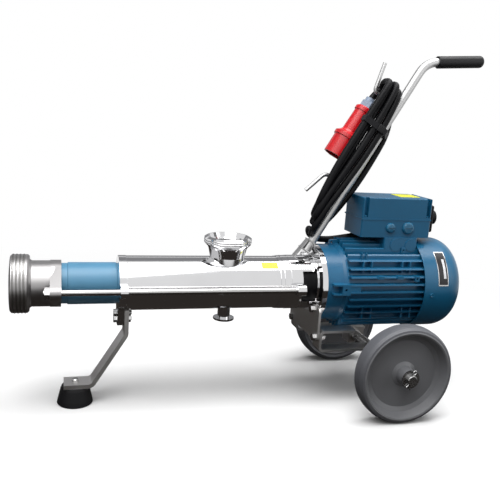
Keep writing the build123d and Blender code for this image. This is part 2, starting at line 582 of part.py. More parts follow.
# --- rotary switch on the end of the control box --------------------------------------------------
SWITCH_Z = 143.0
SWITCH_T = 8.0
plate = extrude(axial(BOX_X[1], 0, 155.5) * RectangleRounded(46, 57, 3), SWITCH_T)
parts["switch_plate"] = plate - pipe(BOX_X[1], BOX_X[1] + SWITCH_T, 5.05, 0.0, 0.0, SWITCH_Z)
knob = pipe(BOX_X[1] + SWITCH_T + 0.2, BOX_X[1] + SWITCH_T + 5, 16.5, 0.0, 0.0, SWITCH_Z)
knob += pipe(BOX_X[1] - 2, BOX_X[1] + SWITCH_T + 1, 5.0, 0.0, 0.0, SWITCH_Z)
knob += extrude(axial(BOX_X[1] + SWITCH_T + 4, 0, SWITCH_Z) * SlotCenterToCenter(22, 8), 8)
knob_hole = pipe(BOX_X[1] - 4, BOX_X[1] + 3, 5.05, 0.0, 0.0, SWITCH_Z)
parts["control_box_lid"] -= knob_hole
parts["control_box_base"] -= knob_hole
parts["switch_knob"] = knob

# --- cable gland on the terminal box --------------------------------------------------------------
gland = pipe(BASE_X[0], BASE_X[0] + 10, 8, 0.0, GLAND_Y, GLAND_Z)
gland += extrude(axial(BASE_X[0] - 4, GLAND_Y, GLAND_Z) * hexagon(9.5), 4)
gland += pipe(BASE_X[0] - 14, BASE_X[0] - 4, 9.0, 0.0, GLAND_Y, GLAND_Z)
gland += pipe(BASE_X[0] - 18, BASE_X[0] - 14, 8.2, 0.0, GLAND_Y, GLAND_Z)
parts["cable_gland"] = gland

# --- handle: bent-plate bracket on the lantern, bent tube with two cable hooks, and a grip --------


def cut_across(half_width, *points):
    """Sheet with its outline in the side view, across the middle of the pump."""
    return extrude(side(half_width) * make_face(Polyline(*points, close=True)), 2 * half_width)


bracket = cut_across(7, (-55, 52), (-51.5, 52), (-20.9, 89.9), (-22.6, 92.5))
bracket += cut_across(11, (-23.4, 90.6), (-22.6, 92.5), (-13.5, 89), (-5.5, 78), (-8.8, 78), (-15, 86.6))
bracket += cut_across(8, (-38.5, 74.5), (-10, 54.8), (-10, 57.4), (-36.9, 76.6))
bracket -= pipe(LANTERN_START - 1, 3, LANTERN_R)
bracket -= pipe(-FLANGE_T, 0, FLANGE_R)
bracket -= pipe(-FLANGE_T - 1, -FLANGE_T, LANTERN_R + 1)

stem = Vector(cos(HANDLE_RISE * pi / 180), 0, sin(HANDLE_RISE * pi / 180))
across = Vector(-stem.Z, 0, stem.X)
foot = place(HANDLE_FOOT[0], 0, HANDLE_FOOT[1])
bore = Plane(origin=foot, z_dir=stem)
bracket -= extrude(bore * Circle(HANDLE_R), 60)
parts["handle_bracket"] = bracket

grip_slope = sin(GRIP_RISE * pi / 180) / cos(GRIP_RISE * pi / 180)


def on_grip(x):
    """Point of the grip's axis at x."""
    return (x, 0, HANDLE_TOP[1] + (x - HANDLE_TOP[0]) * grip_slope)


stem_tube = rod(
    [(HANDLE_FOOT[0], 0, HANDLE_FOOT[1]), (HANDLE_TOP[0], 0, HANDLE_TOP[1]), on_grip(GRIP_END - 14)],
    HANDLE_R, 48, HANDLE_R - HANDLE_WALL,
)


def by_stem(s, n, y=0.0):
    """Place by length s up the stem from its foot and distance n off it, forwards and up."""
    at = foot + stem * s + across * n
    return (at.X - MOTOR_FACE, y, at.Z - AXIS_Z)


UPPER_HOOK_S = 347.0
LOWER_HOOK_S = 154.0
upper_hook = rod(
    [by_stem(UPPER_HOOK_S, 0), by_stem(UPPER_HOOK_S, 62.5), by_stem(UPPER_HOOK_S + 57.6, 76)], HOOK_R, 9,
)
lower_hook = rod(
    [by_stem(LOWER_HOOK_S, 0), by_stem(LOWER_HOOK_S, 56.5), by_stem(LOWER_HOOK_S - 51.5, 73)], HOOK_R, 14,
)
hooks = upper_hook + lower_hook
hooks -= extrude(Plane(origin=foot, z_dir=stem) * Circle(HANDLE_R - HANDLE_WALL), 420)
parts["handle_tube"] = stem_tube + hooks - pipe(-FLANGE_T, 0, FLANGE_R)

grip_axis = Vector(cos(GRIP_RISE * pi / 180), 0, sin(GRIP_RISE * pi / 180))
grip_from = place(*on_grip(232.0))
grip_length = (GRIP_END - 0.5 - 232.0) / cos(GRIP_RISE * pi / 180)
grip = extrude(Plane(origin=grip_from, z_dir=grip_axis) * Circle(GRIP_R), grip_length)
grip = fillet(grip.edges().sort_by(Axis.X)[-1], 8)
inside_length = (GRIP_END - 14 - 232.0) / cos(GRIP_RISE * pi / 180)
grip -= extrude(Plane(origin=grip_from, z_dir=grip_axis) * Circle(HANDLE_R), inside_length)
parts["handle_grip"] = grip

# --- front leg: bent strap, its bolts, and a rubber foot ------------------------------------------
LEG_T = 8.0
LEG_W = 44.0
FOOT_H = 36.0
pad_z = -AXIS_Z + FOOT_H
leg = strip(
    [
        (COLLAR_END + LEG_T / 2, 0, -50), (COLLAR_END + LEG_T / 2, 0, -101),
        (-455, 0, pad_z + LEG_T / 2), (-508, 0, pad_z + LEG_T / 2),
    ],
    LEG_W, LEG_T, 14,
)
for bolt_z in LEG_BOLTS_Z:
    leg -= pipe(COLLAR_END, COLLAR_END + LEG_T, FLANGE_BOLT_R, 0.0, 0.0, bolt_z)
leg -= pipe(COLLAR_END, COLLAR_END + LEG_T, TUBE_R)
leg -= Pos(*place(FOOT_X, 0, pad_z)) * Cylinder(FLANGE_BOLT_R, 40)
parts["leg_strap"] = leg
foot_bolt = upright(
    FOOT_X, (0, pad_z - 18), (FLANGE_BOLT_R, pad_z - 18), (FLANGE_BOLT_R, pad_z + LEG_T),
    (M8_HEAD, pad_z + LEG_T), (M8_HEAD, pad_z + LEG_T + 4), (M8_HEAD - 1.5, pad_z + LEG_T + 5.5),
    (0, pad_z + LEG_T + 5.5),
)
leg_bolts = [
    bolt_x(STATOR_END + 2, COLLAR_END + LEG_T, 0, z, FLANGE_BOLT_R, M8_HEAD, 6, 7) for z in LEG_BOLTS_Z
]
parts["leg_bolts"] = group(leg_bolts + [foot_bolt])
parts["rubber_foot"] = upright(
    FOOT_X, (0, -AXIS_Z), (33, -AXIS_Z), (34.5, -AXIS_Z + 2), (33.5, -AXIS_Z + 8), (28, -AXIS_Z + 31),
    (26, pad_z), (FLANGE_BOLT_R, pad_z), (FLANGE_BOLT_R, pad_z - 18), (0, pad_z - 18),
)

# --- trolley: plate on the flange, two loops of flat bar that carry the axle ----------------------
PLATE_HALF = 82.0
PLATE_Z = (-106.0, -36.0)
plate = block(PLATE_X, (-PLATE_HALF, PLATE_HALF), PLATE_Z)
plate = fillet(plate.edges().filter_by(Axis.X), 8)
plate -= pipe(PLATE_X[0] - 1, PLATE_X[1] + 1, LANTERN_R + 3.5)
LOOP_BOLT_Z = -99.0
for y in (-BAR_Y, BAR_Y):
    plate -= pipe(PLATE_X[0], PLATE_X[1], FLANGE_BOLT_R, 0.0, y, LOOP_BOLT_Z)
for y, z in bolt_places:
    if z < 0:
        plate -= pipe(PLATE_X[0], PLATE_X[1], FLANGE_BOLT_R, 0.0, y, z)
parts["trolley_plate"] = plate

LOOP_X = PLATE_X[1] + BAR_T / 2
LOOP_TOP = -84.5
LOOP_LOW = -124.5
BLOCK_HALF = 18.0


def frame_loop(y):
    """Loop of flat bar, closed by a slanting stay, with a block for the axle at its rear corner."""
    bent = strip(
        [(AXLE_X + 20, y, LOOP_LOW), (LOOP_X, y, LOOP_LOW), (LOOP_X, y, LOOP_TOP), (56, y, LOOP_TOP)],
        BAR_W, BAR_T, 7.5,
    )
    stay = strip([(55.5, y, LOOP_TOP), (68, y, LOOP_TOP), (121, y, LOOP_LOW)], BAR_W, BAR_T, 9)
    stay -= block((0, 200), (y - BAR_W, y + BAR_W), (LOOP_LOW - 20, LOOP_LOW))
    bar_y = (y - BAR_W / 2, y + BAR_W / 2)
    holder = block((AXLE_X - BLOCK_HALF, AXLE_X + BLOCK_HALF), bar_y, (-AXIS_Z + WHEEL_R - 16, LOOP_LOW - 2))
    tab = block((LOOP_X, LOOP_X + BAR_T), (y - 1, y + 1), (LOOP_TOP - 1, LOOP_TOP))
    loop = bent + stay + holder + tab
    hole = Pos(*place(AXLE_X, y, WHEEL_R - AXIS_Z)) * Rot(90, 0, 0) * Cylinder(AXLE_R, BAR_W)
    return loop - hole - pipe(PLATE_X[1], PLATE_X[1] + BAR_T, FLANGE_BOLT_R, 0.0, y, LOOP_BOLT_Z)


parts["frame_loop_near"] = frame_loop(-BAR_Y)
parts["frame_loop_far"] = frame_loop(BAR_Y)
parts["frame_bolts"] = group(
    bolt_x(PLATE_X[0], PLATE_X[1] + BAR_T, y, LOOP_BOLT_Z, FLANGE_BOLT_R, M8_HEAD, 5.5, 14)
    for y in (-BAR_Y, BAR_Y)
)

# --- axle, wheels, washers and split pins ---------------------------------------------------------
HUB_IN = 145.0
HUB_OUT = 198.0
WASHER_T = 3.0
WASHER_R = 18.5
HUB_R = 17.5
PIN_Y = HUB_OUT + WASHER_T + 2.6
PIN_R = 1.9
RUNNING = 0.05


def about_axle(*points):
    """Body of revolution about the axle, from points of y and radius."""
    profile = Plane(origin=place(AXLE_X, 0, WHEEL_R - AXIS_Z), x_dir=(0, 1, 0), z_dir=(1, 0, 0))
    face = make_face(Polyline(*points, close=True))
    return revolve(profile * face, Axis(place(AXLE_X, 0, WHEEL_R - AXIS_Z), (0, 1, 0)), 360)


SHOULDER_Y = HUB_IN - WASHER_T - 0.3
axle = about_axle(
    (-AXLE_HALF, 0), (-AXLE_HALF, JOURNAL_R - 1), (-AXLE_HALF + 1, JOURNAL_R), (-SHOULDER_Y, JOURNAL_R),
    (-SHOULDER_Y, AXLE_R), (SHOULDER_Y, AXLE_R), (SHOULDER_Y, JOURNAL_R), (AXLE_HALF - 1, JOURNAL_R),
    (AXLE_HALF, JOURNAL_R - 1), (AXLE_HALF, 0),
)
pin_line = Rot(0, 20, 0) * Cylinder(PIN_R, 33)
pin_places = [Pos(*place(AXLE_X, y, WHEEL_R - AXIS_Z)) for y in (-PIN_Y, PIN_Y)]
pins = [at * pin_line for at in pin_places]
for pin in pins:
    axle -= pin
parts["axle"] = axle
parts["split_pins"] = group(pins)
washers = []
for s in (-1, 1):
    for y0 in (SHOULDER_Y, HUB_OUT + 0.3):
        washers.append(about_axle(
            (s * y0, JOURNAL_R), (s * y0, WASHER_R), (s * (y0 + WASHER_T), WASHER_R),
            (s * (y0 + WASHER_T), JOURNAL_R),
        ))
parts["axle_washers"] = group(washers)

RIM_R = 92.0
TYRE_IN = TYRE_OUT - TYRE_W


def wheel(s):
    """Moulded wheel: rim with an outer lip, a dished web and a long hub. s is its side."""
    return about_axle(*[(s * y, r) for y, r in (
        (HUB_IN, JOURNAL_R + RUNNING), (HUB_IN, HUB_R), (HUB_IN + 12, HUB_R), (HUB_IN + 20, 30),
        (TYRE_IN + 14, 76), (TYRE_IN + 3, 82), (TYRE_IN + 3, 86), (TYRE_IN + 6, 89), (TYRE_OUT - 5, 89),
        (TYRE_OUT - 1, RIM_R), (TYRE_OUT, RIM_R - 2), (TYRE_OUT - 1, RIM_R - 5), (TYRE_OUT - 7, 84),
        (TYRE_OUT - 16, 79), (TYRE_OUT - 20, 70), (TYRE_OUT - 19, 26), (TYRE_OUT - 15, HUB_R + 1),
        (HUB_OUT, HUB_R - 1.5), (HUB_OUT, JOURNAL_R + RUNNING),
    )])


def tyre(s):
    """Solid rubber tread with rounded shoulders, moulded round the rim."""
    return about_axle(*[(s * y, r) for y, r in (
        (TYRE_IN + 6, 89), (TYRE_IN + 3, 86), (TYRE_IN, 90), (TYRE_IN + 2, 95.5), (TYRE_IN + 8, 99),
        (TYRE_IN + 14, WHEEL_R), (TYRE_OUT - 14, WHEEL_R), (TYRE_OUT - 8, 99), (TYRE_OUT - 2, 95.5),
        (TYRE_OUT - 1, RIM_R), (TYRE_OUT - 5, 89),
    )])


for name, s in (("near", -1), ("far", 1)):
    parts["wheel_" + name] = wheel(s)
    parts["tyre_" + name] = tyre(s)

# --- mains cable: a short lead, a hank hung over the upper hook, a strap, a lead to the plug --------
HANK_S = (27.0, 383.0)      # along the stem from its foot
HANK_Y = (-36.0, 28.0)      # near strands on the -Y side of the stem, far ones behind it
HANK_T = 2 * CABLE_R        # the strands lie one deep
HOOK_REST_S = UPPER_HOOK_S + HOOK_R + 1

hank_plane = Plane(origin=foot, x_dir=stem, z_dir=-across)      # x up the stem, y across the pump
stem_side = Plane(origin=foot, x_dir=stem, z_dir=(0, -1, 0))    # x up the stem, y off it
stem_section = Plane(origin=foot, x_dir=(0, 1, 0), z_dir=stem)  # x across the pump, y off the stem
across_way = hank_plane.y_dir.Y


def racetrack(s0, s1, y0, y1):
    middle = Pos((s0 + s1) / 2, across_way * (y0 + y1) / 2)
    return middle * SlotOverall(s1 - s0, y1 - y0)


def band(*points):
    """Side view of one half of the hank, from points of length up the stem and distance off it."""
    return make_face(Polyline(*points, close=True))


ring = racetrack(*HANK_S, *HANK_Y)
ring -= racetrack(HANK_S[0] + HANK_T, HOOK_REST_S, HANK_Y[0] + HANK_T, HANK_Y[1] - HANK_T)
loops = extrude(hank_plane * ring, 70, both=True)
near_side = band(
    (26, 12), (45, 11), (62, 9), (120, 13), (155, 11), (300, 11), (345, 14), (384, 18), (384, 50), (368, 57),
    (350, 60), (300, 62), (227, 59), (137, 57), (100, 49), (79, 38), (66, 30), (53, 30), (33, 25), (26, 20),
)
far_side = band(
    (26, 12), (45, 10), (75, 2), (115, -14), (149, -26), (181, -31), (216, -33), (250, -27), (273, -18),
    (320, -4), (350, 10), (384, 18), (384, 50), (368, 57), (352, 57), (318, 21), (130, 21), (75, 28),
    (53, 30), (33, 25), (26, 20),
)
near_half = loops & extrude(stem_side * near_side, 40)
far_half = loops & extrude(stem_side * far_side, -40)
parts["cable_hank"] = near_half + far_half

STRAP_S = 279.0
STRAP_W = 12.0
strap_inside = make_face(Polyline(
    (-36.3, 8), (-36.3, 62.4), (-21.7, 62.4), (-17, 40), (28.3, 22), (28.3, -18.5), (-10, -9.4), close=True,
))
strap_face = offset(strap_inside, 1.6) - strap_inside
strap = extrude(stem_section.offset(STRAP_S) * strap_face, STRAP_W)
parts["cable_strap"] = strap

# route of the lead: out of the gland, along the top of the motor, and up behind the stem into the hank
LEAD_ROUTE = [
    (BASE_X[0] - 18, GLAND_Y, GLAND_Z), (90, 31.5, 92.5), (66, 38, 86.5), (40, 43.5, 82), (13, 41, 84),
    (-10, 27, 97), (-19, 8, 115),
]


def cord_tube(route):
    """Round tube along straight runs joined by arcs as large as the runs allow."""
    points = [place(*p) for p in route]
    runs = [b - a for a, b in zip(points, points[1:])]
    radii = []
    for first, second in zip(runs, runs[1:]):
        half_turn = first.get_angle(second) / 2 * pi / 180
        radii.append(0.45 * min(first.length, second.length) * cos(half_turn) / sin(half_turn))
    print("cord radii", [round(r, 1) for r in radii])
    path = FilletPolyline(*points, radius=radii)
    tube = sweep(Plane(origin=path @ 0, z_dir=path % 0) * Circle(CABLE_R), path)
    print("cord length", round(path.length, 1), "volume ratio", tube.volume / (pi * CABLE_R**2 * path.length))
    return tube


lead = cord_tube(LEAD_ROUTE) - parts["cable_hank"] - parts["cable_gland"]
parts["power_cable"] = lead.solids().sort_by(SortBy.VOLUME)[-1]

# --- plug: five-pin mains plug hanging from the top of the hank, beside the hooks -----------------
PLUG_N = 54.0
PLUG_Y = 13.0
PLUG_S = 196.0              # open end of the shroud, along the stem
SHROUD_R = 26.0
plug_from = foot + stem * PLUG_S + across * PLUG_N + Vector(0, PLUG_Y, 0)
plug_axis = Plane(origin=plug_from, x_dir=(0, 1, 0), z_dir=stem)


def about_plug(*points):
    """Body of revolution about the plug, from points of length from its open end and radius."""
    profile = Plane(origin=plug_from, x_dir=stem, z_dir=plug_axis.x_dir)
    face = make_face(Polyline(*points, close=True))
    return revolve(profile * face, Axis(plug_from, stem), 360)


plug = about_plug(
    (0, SHROUD_R - 2.5), (0, SHROUD_R), (40, SHROUD_R), (41, SHROUD_R + 2.5), (48, SHROUD_R + 2.5),
    (54, 21), (58, 18.5), (104, 17.5), (105, 19.5), (112, 19.5), (115, 16), (115, 0), (38, 0),
    (38, SHROUD_R - 2.5),
)
PIN_CIRCLE = 14.0
for i in range(5):
    a = 2 * pi * i / 5
    contact = plug_axis * Pos(PIN_CIRCLE * cos(a), PIN_CIRCLE * sin(a), 12) * Cylinder(
        2.5, 28, align=(Align.CENTER, Align.CENTER, Align.MIN),
    )
    plug += contact
key = plug_axis * Pos(SHROUD_R, 0, 20) * Box(6, 6, 40)
plug += key - extrude(plug_axis * Circle(SHROUD_R - 1), 60)
parts["plug_body"] = plug
plug_top = Plane(origin=plug_from + stem * 115, x_dir=(0, 1, 0), z_dir=stem)
parts["plug_gland"] = extrude(plug_top * hexagon(12), 14) + extrude(plug_top.offset(14) * Circle(10.5), 8)

LEAD_END_S = PLUG_S + 115 + 22
PLUG_ROUTE = [
    by_stem(LEAD_END_S, PLUG_N, PLUG_Y), by_stem(LEAD_END_S + 14, PLUG_N - 2, PLUG_Y + 1),
    by_stem(LEAD_END_S + 30, PLUG_N - 9, PLUG_Y + 4),
]
parts["plug_lead"] = cord_tube(PLUG_ROUTE) - parts["cable_hank"] - parts["plug_gland"]

# --- write one file for each piece ----------------------------------------------------------------
os.makedirs("parts", exist_ok=True)
for name, shape in parts.items():
    export_step(shape, "parts/" + name + ".step")
print(len(parts), "parts")
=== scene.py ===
import bmesh
import bpy
from math import cos, pi, radians, sin
from mathutils import Matrix, Vector


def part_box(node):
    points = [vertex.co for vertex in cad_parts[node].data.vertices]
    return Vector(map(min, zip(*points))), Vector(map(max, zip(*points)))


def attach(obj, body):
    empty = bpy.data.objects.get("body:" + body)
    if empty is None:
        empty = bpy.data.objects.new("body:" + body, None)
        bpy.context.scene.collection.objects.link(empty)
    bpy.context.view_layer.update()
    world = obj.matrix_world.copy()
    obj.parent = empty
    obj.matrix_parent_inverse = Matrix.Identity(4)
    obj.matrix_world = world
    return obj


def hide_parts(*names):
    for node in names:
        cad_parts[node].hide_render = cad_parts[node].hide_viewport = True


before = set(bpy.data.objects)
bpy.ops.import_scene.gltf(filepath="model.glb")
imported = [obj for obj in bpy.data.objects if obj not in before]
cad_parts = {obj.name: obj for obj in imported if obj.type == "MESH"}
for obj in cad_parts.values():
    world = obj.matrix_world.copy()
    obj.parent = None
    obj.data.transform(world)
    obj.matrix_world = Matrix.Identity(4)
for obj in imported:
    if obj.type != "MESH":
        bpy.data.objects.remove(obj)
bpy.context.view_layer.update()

# --- Suction housing, inlet union and drain plug --------------------------------------------------
# Welded stainless tube, 107 mm across, polished inside and out. The inlet's union carries the
# round thread of a dairy coupling, and the drain under it is closed by a flanged plug.
FACE_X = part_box("lantern")[1][0]        # the motor's flange face
AXIS_Z = (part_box("motor_shaft")[0][2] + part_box("motor_shaft")[1][2]) / 2
MM = 0.001
OBJECT_SPACE = 3            # output of a Texture Coordinate node
GLOSSY_RAY = 3              # output of a Light Path node, whose first output is the camera's rays


def at(x, y=0.0, z=0.0):
    """A place given in millimetres from the flange face, across the pump and above its axis."""
    return Vector((FACE_X + x * MM, y * MM, AXIS_Z + z * MM))


class Wire:
    """One output in a material's nodes. Arithmetic on it adds Math nodes."""

    def __init__(self, tree, socket=None):
        self.tree = tree
        self.socket = socket

    def node(self, kind, settings=None, values=None, out=0):
        """Adds a node: first its settings or ramp stops, then the values or links of its sockets."""
        made = self.tree.nodes.new(kind)
        for name, value in (settings or {}).items():
            if name == "stops":
                ramp = made.color_ramp.elements
                while len(ramp) < len(value):
                    ramp.new(0.5)
                for stop, (place, colour) in zip(ramp, value):
                    stop.position = place
                    stop.color = (*colour, 1.0)
            else:
                setattr(made, name, value)
        for name, value in (values or {}).items():
            if isinstance(value, Wire):
                self.tree.links.new(value.socket, made.inputs[name])
            elif isinstance(value, tuple) and len(value) == 3 and made.inputs[name].type == "RGBA":
                made.inputs[name].default_value = (*value, 1.0)
            else:
                made.inputs[name].default_value = value
        return Wire(self.tree, made.outputs[out] if made.outputs else None)

    def math(self, operation, a, b=0.5):
        return self.node("ShaderNodeMath", {"operation": operation}, {0: a, 1: b})

    def __add__(self, other):
        return self.math("ADD", self, other)

    __radd__ = __add__

    def __mul__(self, other):
        return self.math("MULTIPLY", self, other)

    __rmul__ = __mul__

    def __sub__(self, other):
        return self.math("SUBTRACT", self, other)

    def __rsub__(self, other):
        return self.math("SUBTRACT", other, self)


def new_material(name):
    """An empty material, and a wire to add nodes from."""
    material = bpy.data.materials.new(name)
    material.use_nodes = True
    material.node_tree.nodes.clear()
    return material, Wire(material.node_tree)


def finish_material(material, shader):
    """Sends a shader to the material's output."""
    shader.node("ShaderNodeOutputMaterial", None, {"Surface": shader})
    return material


def noise(start, scale, detail=4.0, stretch=(1.0, 1.0, 1.0)):
    """Soft noise in the object's own space, which may be stretched along an axis."""
    place = start.node("ShaderNodeTexCoord", out=OBJECT_SPACE)
    mapped = start.node("ShaderNodeMapping", None, {"Vector": place, "Scale": stretch})
    return start.node("ShaderNodeTexNoise", None, {"Vector": mapped, "Scale": scale, "Detail": detail})


def between(start, mask, low, high):
    """A colour between two, by a mask. Sockets 6 and 7 take the colours, and output 2 gives one."""
    return start.node(
        "ShaderNodeMix", {"data_type": "RGBA"}, {0: mask, 6: (*low, 1.0), 7: (*high, 1.0)}, out=2,
    )


def steel(name, colour, rough, spread, stretch, scale, bump=0.0):
    """Bare steel: grinding marks along one way, over a slow change of shade."""
    material, start = new_material(name)
    marks = noise(start, scale, 6.0, stretch)
    cloud = noise(start, 9.0, 3.0)
    roughness = rough + (marks - 0.5) * spread + (cloud - 0.5) * (spread * 0.6)
    dark = tuple(c * 0.9 for c in colour)
    light = tuple(min(1.0, c * 1.06) for c in colour)
    values = {"Base Color": between(start, cloud, dark, light), "Metallic": 1.0, "Roughness": roughness}
    if bump:
        values["Normal"] = start.node(
            "ShaderNodeBump", None, {"Height": marks, "Strength": bump, "Distance": 0.0004},
        )
    return finish_material(material, start.node("ShaderNodeBsdfPrincipled", None, values))


def dress(material, *nodes):
    """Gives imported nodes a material. Their meshes stay as they are."""
    for node in nodes:
        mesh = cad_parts[node].data
        mesh.materials.clear()
        mesh.materials.append(material)


def finish_mesh(form, name, smooth_below=30.0):
    """Turns a bmesh into a mesh with its faces outwards, smooth except over sharp edges."""
    bmesh.ops.remove_doubles(form, verts=form.verts, dist=1e-6)
    bmesh.ops.recalc_face_normals(form, faces=form.faces)
    for face in form.faces:
        face.smooth = True
    for edge in form.edges:
        edge.smooth = edge.calc_face_angle(0.0) < radians(smooth_below)
    mesh = bpy.data.meshes.new(name)
    form.to_mesh(mesh)
    form.free()
    return mesh


def piece(name, shape, material, body="root"):
    """A new object in the pump's own frame, which moves with one of its bodies."""
    made = bpy.data.objects.new(name, shape)
    bpy.context.scene.collection.objects.link(made)
    shape.materials.append(material)
    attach(made, body)
    return made


def thread(name, centre, axis, r, pitch, turns, depth, material):
    """Round thread: a small round section carried round the axis along a screw line."""
    form = bmesh.new()
    side = axis.orthogonal().normalized()
    bmesh.ops.create_circle(form, segments=10, radius=depth, cap_ends=True)
    across = Matrix((side, axis, side.cross(axis))).transposed().to_4x4()
    bmesh.ops.transform(form, verts=form.verts, matrix=Matrix.Translation(centre + side * r) @ across)
    steps = 48 * turns
    bmesh.ops.spin(
        form, geom=form.verts[:] + form.edges[:] + form.faces[:], cent=centre, axis=axis,
        dvec=axis * (pitch * turns / steps), angle=2 * pi * turns, steps=steps,
    )
    return piece(name, finish_mesh(form, name, 50.0), material)


polished = steel("polished_stainless", (0.70, 0.70, 0.71), 0.085, 0.05, (0.2, 1.0, 1.0), 60.0)
dress(polished, "suction_housing", "inlet_union", "drain_plug")
INLET_THREAD_FOOT = at(-192.5, 0, 82.0)
INLET_THREAD_R = 46.4 * MM
INLET_PITCH = 4.23 * MM
thread(
    "inlet_thread_ridges", INLET_THREAD_FOOT, Vector((0, 0, 1)), INLET_THREAD_R, INLET_PITCH, 2,
    1.75 * MM, polished,
)


def bead(name, centre, axis, r, width, material):
    """Ring of a rounded section, such as a weld seam ground nearly flush."""
    form = bmesh.new()
    side = axis.orthogonal().normalized()
    bmesh.ops.create_circle(form, segments=8, radius=width, cap_ends=False)
    across = Matrix((side, axis, side.cross(axis))).transposed().to_4x4()
    bmesh.ops.transform(form, verts=form.verts, matrix=Matrix.Translation(centre + side * r) @ across)
    bmesh.ops.spin(
        form, geom=form.verts[:] + form.edges[:], cent=centre, axis=axis, angle=2 * pi, steps=72,
        use_merge=True,
    )
    return piece(name, finish_mesh(form, name, 60.0), material)


ALONG = Vector((1, 0, 0))
bead("collar_weld", at(-394.5), ALONG, 53.4 * MM, 0.7 * MM, polished)

# --- Outlet connector -----------------------------------------------------------------------------
# Turned stainless casting. Its thread takes the union nut of the pressure hose, and its flat
# collar presses the stator against the housing by the two tie rods.
turned_steel = steel("turned_stainless", (0.36, 0.352, 0.352), 0.36, 0.12, (1.0, 0.05, 0.05), 500.0, 0.06)
dress(turned_steel, "outlet_connector")
# The thread's ridges take a darker copy of the connector's steel: painted shade of the grooves between them.
shaded_thread_steel = steel("thread_stainless_shaded", (0.22, 0.215, 0.21), 0.34, 0.14, (1.0, 1.0, 1.0), 200.0)
OUTLET_THREAD_R = 53.6 * MM
OUTLET_PITCH = 6.35 * MM
thread(
    "outlet_thread_ridges", at(-600.5), ALONG, OUTLET_THREAD_R, OUTLET_PITCH, 4, 2.3 * MM,
    shaded_thread_steel,
)


# --- Stator and rotor -----------------------------------------------------------------------------
# A painted steel tube with a rubber lining bonded inside. The polished helical rotor turns and
# wobbles in the lining's double-start bore and pushes the liquid along.
def paint(name, colour, rough, peel, grain=900.0, gleam=0.5):
    """Paint or moulded plastic: a slow change of shade, with a fine orange-peel skin."""
    material, start = new_material(name)
    cloud = noise(start, 14.0, 4.0)
    skin = noise(start, grain, 2.0)
    dark = tuple(c * 0.84 for c in colour)
    light = tuple(min(1.0, c * 1.14) for c in colour)
    bump = start.node("ShaderNodeBump", None, {"Height": skin, "Strength": peel, "Distance": 0.0003})
    values = {
        "Base Color": between(start, cloud, dark, light), "Roughness": rough + (cloud - 0.5) * 0.12,
        "Specular IOR Level": gleam, "Normal": bump,
    }
    return finish_material(material, start.node("ShaderNodeBsdfPrincipled", None, values))


dress(paint("stator_blue", (0.07, 0.215, 0.345), 0.36, 0.2), "stator_tube")
black_rubber = paint("black_rubber", (0.010, 0.010, 0.011), 0.55, 0.4, gleam=0.2)
dress(black_rubber, "stator_lining")
dress(polished, "rotor")

# --- Drive line inside the housing ----------------------------------------------------------------
# Ground steel shafts and a coupling rod whose pinned heads let the rotor wobble, with rubber
# boots over the joints and a ceramic face seal where the shaft leaves the liquid.
ground = steel("ground_steel", (0.52, 0.52, 0.53), 0.24, 0.1, (1.0, 1.0, 1.0), 200.0)
dress(
    ground, "pump_shaft", "drive_pin", "coupling_rod", "rotor_pin", "motor_shaft", "motor_rotor_core",
    "motor_stator_core", "motor_bearings",
)
dress(black_rubber, "joint_boots")
dress(paint("seal_ceramic", (0.03, 0.03, 0.032), 0.2, 0.02), "seal_ring", "seal_seat")

# --- Lantern and guard ----------------------------------------------------------------------------
# Stainless casting that joins the housing to the motor's flange. Its two windows are closed by a
# black plastic sleeve, so that no finger reaches the shaft.
dress(polished, "lantern")
black_plastic = paint("black_plastic", (0.004, 0.004, 0.005), 0.42, 0.3, gleam=0.12)
dress(black_plastic, "guard_sleeve")

# --- Tie rods, nuts and flange bolts --------------------------------------------------------------
# Cold-drawn stainless rods, ground bright, with hexagon nuts. The bolts hold the lantern's
# flange and the trolley's plate to the motor.
drawn = steel("drawn_rods", (0.48, 0.475, 0.47), 0.17, 0.1, (0.03, 1.0, 1.0), 900.0, 0.05)
dress(drawn, "tie_rods")
bright = steel("bright_fasteners", (0.46, 0.46, 0.46), 0.22, 0.1, (1.0, 1.0, 1.0), 120.0)
dress(bright, "tie_rod_nuts", "flange_bolts")

# --- Motor castings -------------------------------------------------------------------------------
# End shields and finned housing of cast aluminium, sprayed petrol blue. The casting's grain
# shows through the gloss, and the shade changes slowly over the surface.
motor_blue, start = new_material("motor_blue")
cloud = noise(start, 12.0, 5.0)
cast = noise(start, 420.0, 3.0)
skin = noise(start, 1400.0, 2.0)
shade = between(start, cloud, (0.003, 0.082, 0.18), (0.008, 0.125, 0.25))
height = cast * 0.7 + skin * 0.3
bump = start.node("ShaderNodeBump", None, {"Height": height, "Strength": 0.3, "Distance": 0.0004})
finish_material(motor_blue, start.node("ShaderNodeBsdfPrincipled", None, {
    "Base Color": shade, "Roughness": 0.27 + cast * 0.14 + (cloud - 0.5) * 0.1,
    "Specular IOR Level": 0.5, "Normal": bump,
}))
dress(motor_blue, "motor_end_shield", "motor_housing", "motor_rear_shield")

# --- Fan cover and its screws ---------------------------------------------------------------------
# Deep-drawn sheet steel over the cooling fan, painted with the motor. One pan-head screw on each
# side holds it to the rear shield.
cover_blue = paint("cover_blue", (0.005, 0.10, 0.205), 0.3, 0.18, 700.0, 0.4)
dress(cover_blue, "fan_cover")
dress(black_plastic, "cooling_fan")


def pan_screw(name, place, facing, r, height, material):
    """Pan head with a socket, on the surface at a place."""
    form = bmesh.new()
    bmesh.ops.create_cone(form, cap_ends=True, segments=20, radius1=r, radius2=r * 0.8, depth=height)
    top = max(form.faces, key=lambda face: face.calc_center_median().z)
    bmesh.ops.inset_region(form, faces=[top], thickness=r * 0.3, depth=-height * 0.3)
    turn = facing.to_track_quat("Z", "Y").to_matrix().to_4x4()
    bmesh.ops.transform(form, verts=form.verts, matrix=Matrix.Translation(place + facing * height / 2) @ turn)
    return piece(name, finish_mesh(form, name), material)


